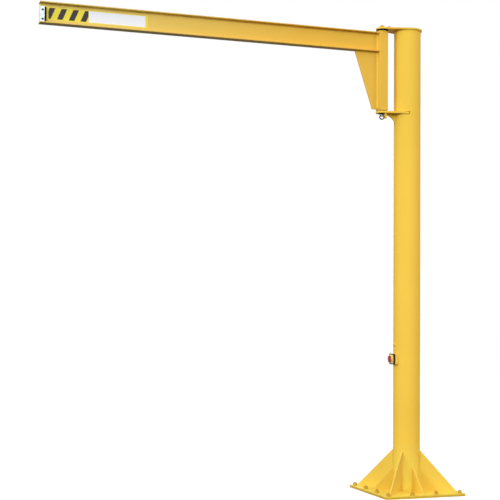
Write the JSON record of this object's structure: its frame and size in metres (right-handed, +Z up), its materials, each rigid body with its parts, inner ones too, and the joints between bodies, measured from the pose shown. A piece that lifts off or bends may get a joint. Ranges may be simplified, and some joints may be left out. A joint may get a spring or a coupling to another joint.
{
  "type": "jib crane",
  "caption": "Column-mounted slewing jib crane: tubular column on a ribbed base plate, I-section jib on a square hinge post between two brackets, with a hand isolator.",
  "frame": {"origin": "centre of the base plate's underside, on the column's axis, at floor level", "axes": "+Z up; at rest the jib lies along -X; front is -Y; the slewing pivot is on the -X side of the column"},
  "size_m": [3.405, 0.7, 3.829],
  "materials": {
    "yellow_paint": "satin enamel",
    "steel": "bright",
    "black_steel": "black oxide",
    "bronze": "oiled bearing bronze",
    "zinc": "zinc plated",
    "rubber": "matte",
    "black_plastic": "matte",
    "yellow_plastic": "gloss",
    "red_plastic": "gloss"
  },
  "bodies": {
    "column": {"base_plate": "yellow_paint", "column_tube": "yellow_paint", "cap_plate": "yellow_paint", "corner_rib_front_left": "yellow_paint", "corner_rib_front_right": "yellow_paint", "corner_rib_back_left": "yellow_paint", "corner_rib_back_right": "yellow_paint", "side_rib_front": "yellow_paint", "side_rib_back": "yellow_paint", "side_rib_left": "yellow_paint", "side_rib_right": "yellow_paint", "lower_bracket": "yellow_paint", "lower_gusset": "yellow_paint", "upper_pin": "steel", "upper_nut": "yellow_paint", "lower_pin": "steel", "keeper_lug": "yellow_paint", "upper_washer": "black_steel", "lower_washer": "bronze", "retainer_washer": "black_steel", "linch_pin": "steel", "linch_ring": "black_steel", "switch_bracket": "yellow_paint", "switch_frame": "black_plastic", "switch_plate": "yellow_plastic", "cable_gland": "yellow_paint"},
    "jib": {"jib_beam": "yellow_paint", "hinge_post": "yellow_paint", "post_top_plate": "yellow_paint", "post_foot_plate": "yellow_paint", "bracket_web": "yellow_paint", "stop_angle_front": "zinc", "stop_angle_back": "zinc", "buffer_front": "rubber", "buffer_back": "rubber"},
    "knob": {"switch_knob": "red_plastic"}
  },
  "joints": [
    {"name": "jib_slew", "type": "hinge", "parent": "column", "child": "jib", "pos_m": [-0.232, 0, 3.45], "axis": [0, 0, 1], "range_deg": [-135, 135]},
    {"name": "switch_turn", "type": "hinge", "parent": "column", "child": "knob", "pos_m": [-0.13985, 0, 1.08], "axis": [-1, 0, 0], "range_deg": [0, 90]}
  ]
}
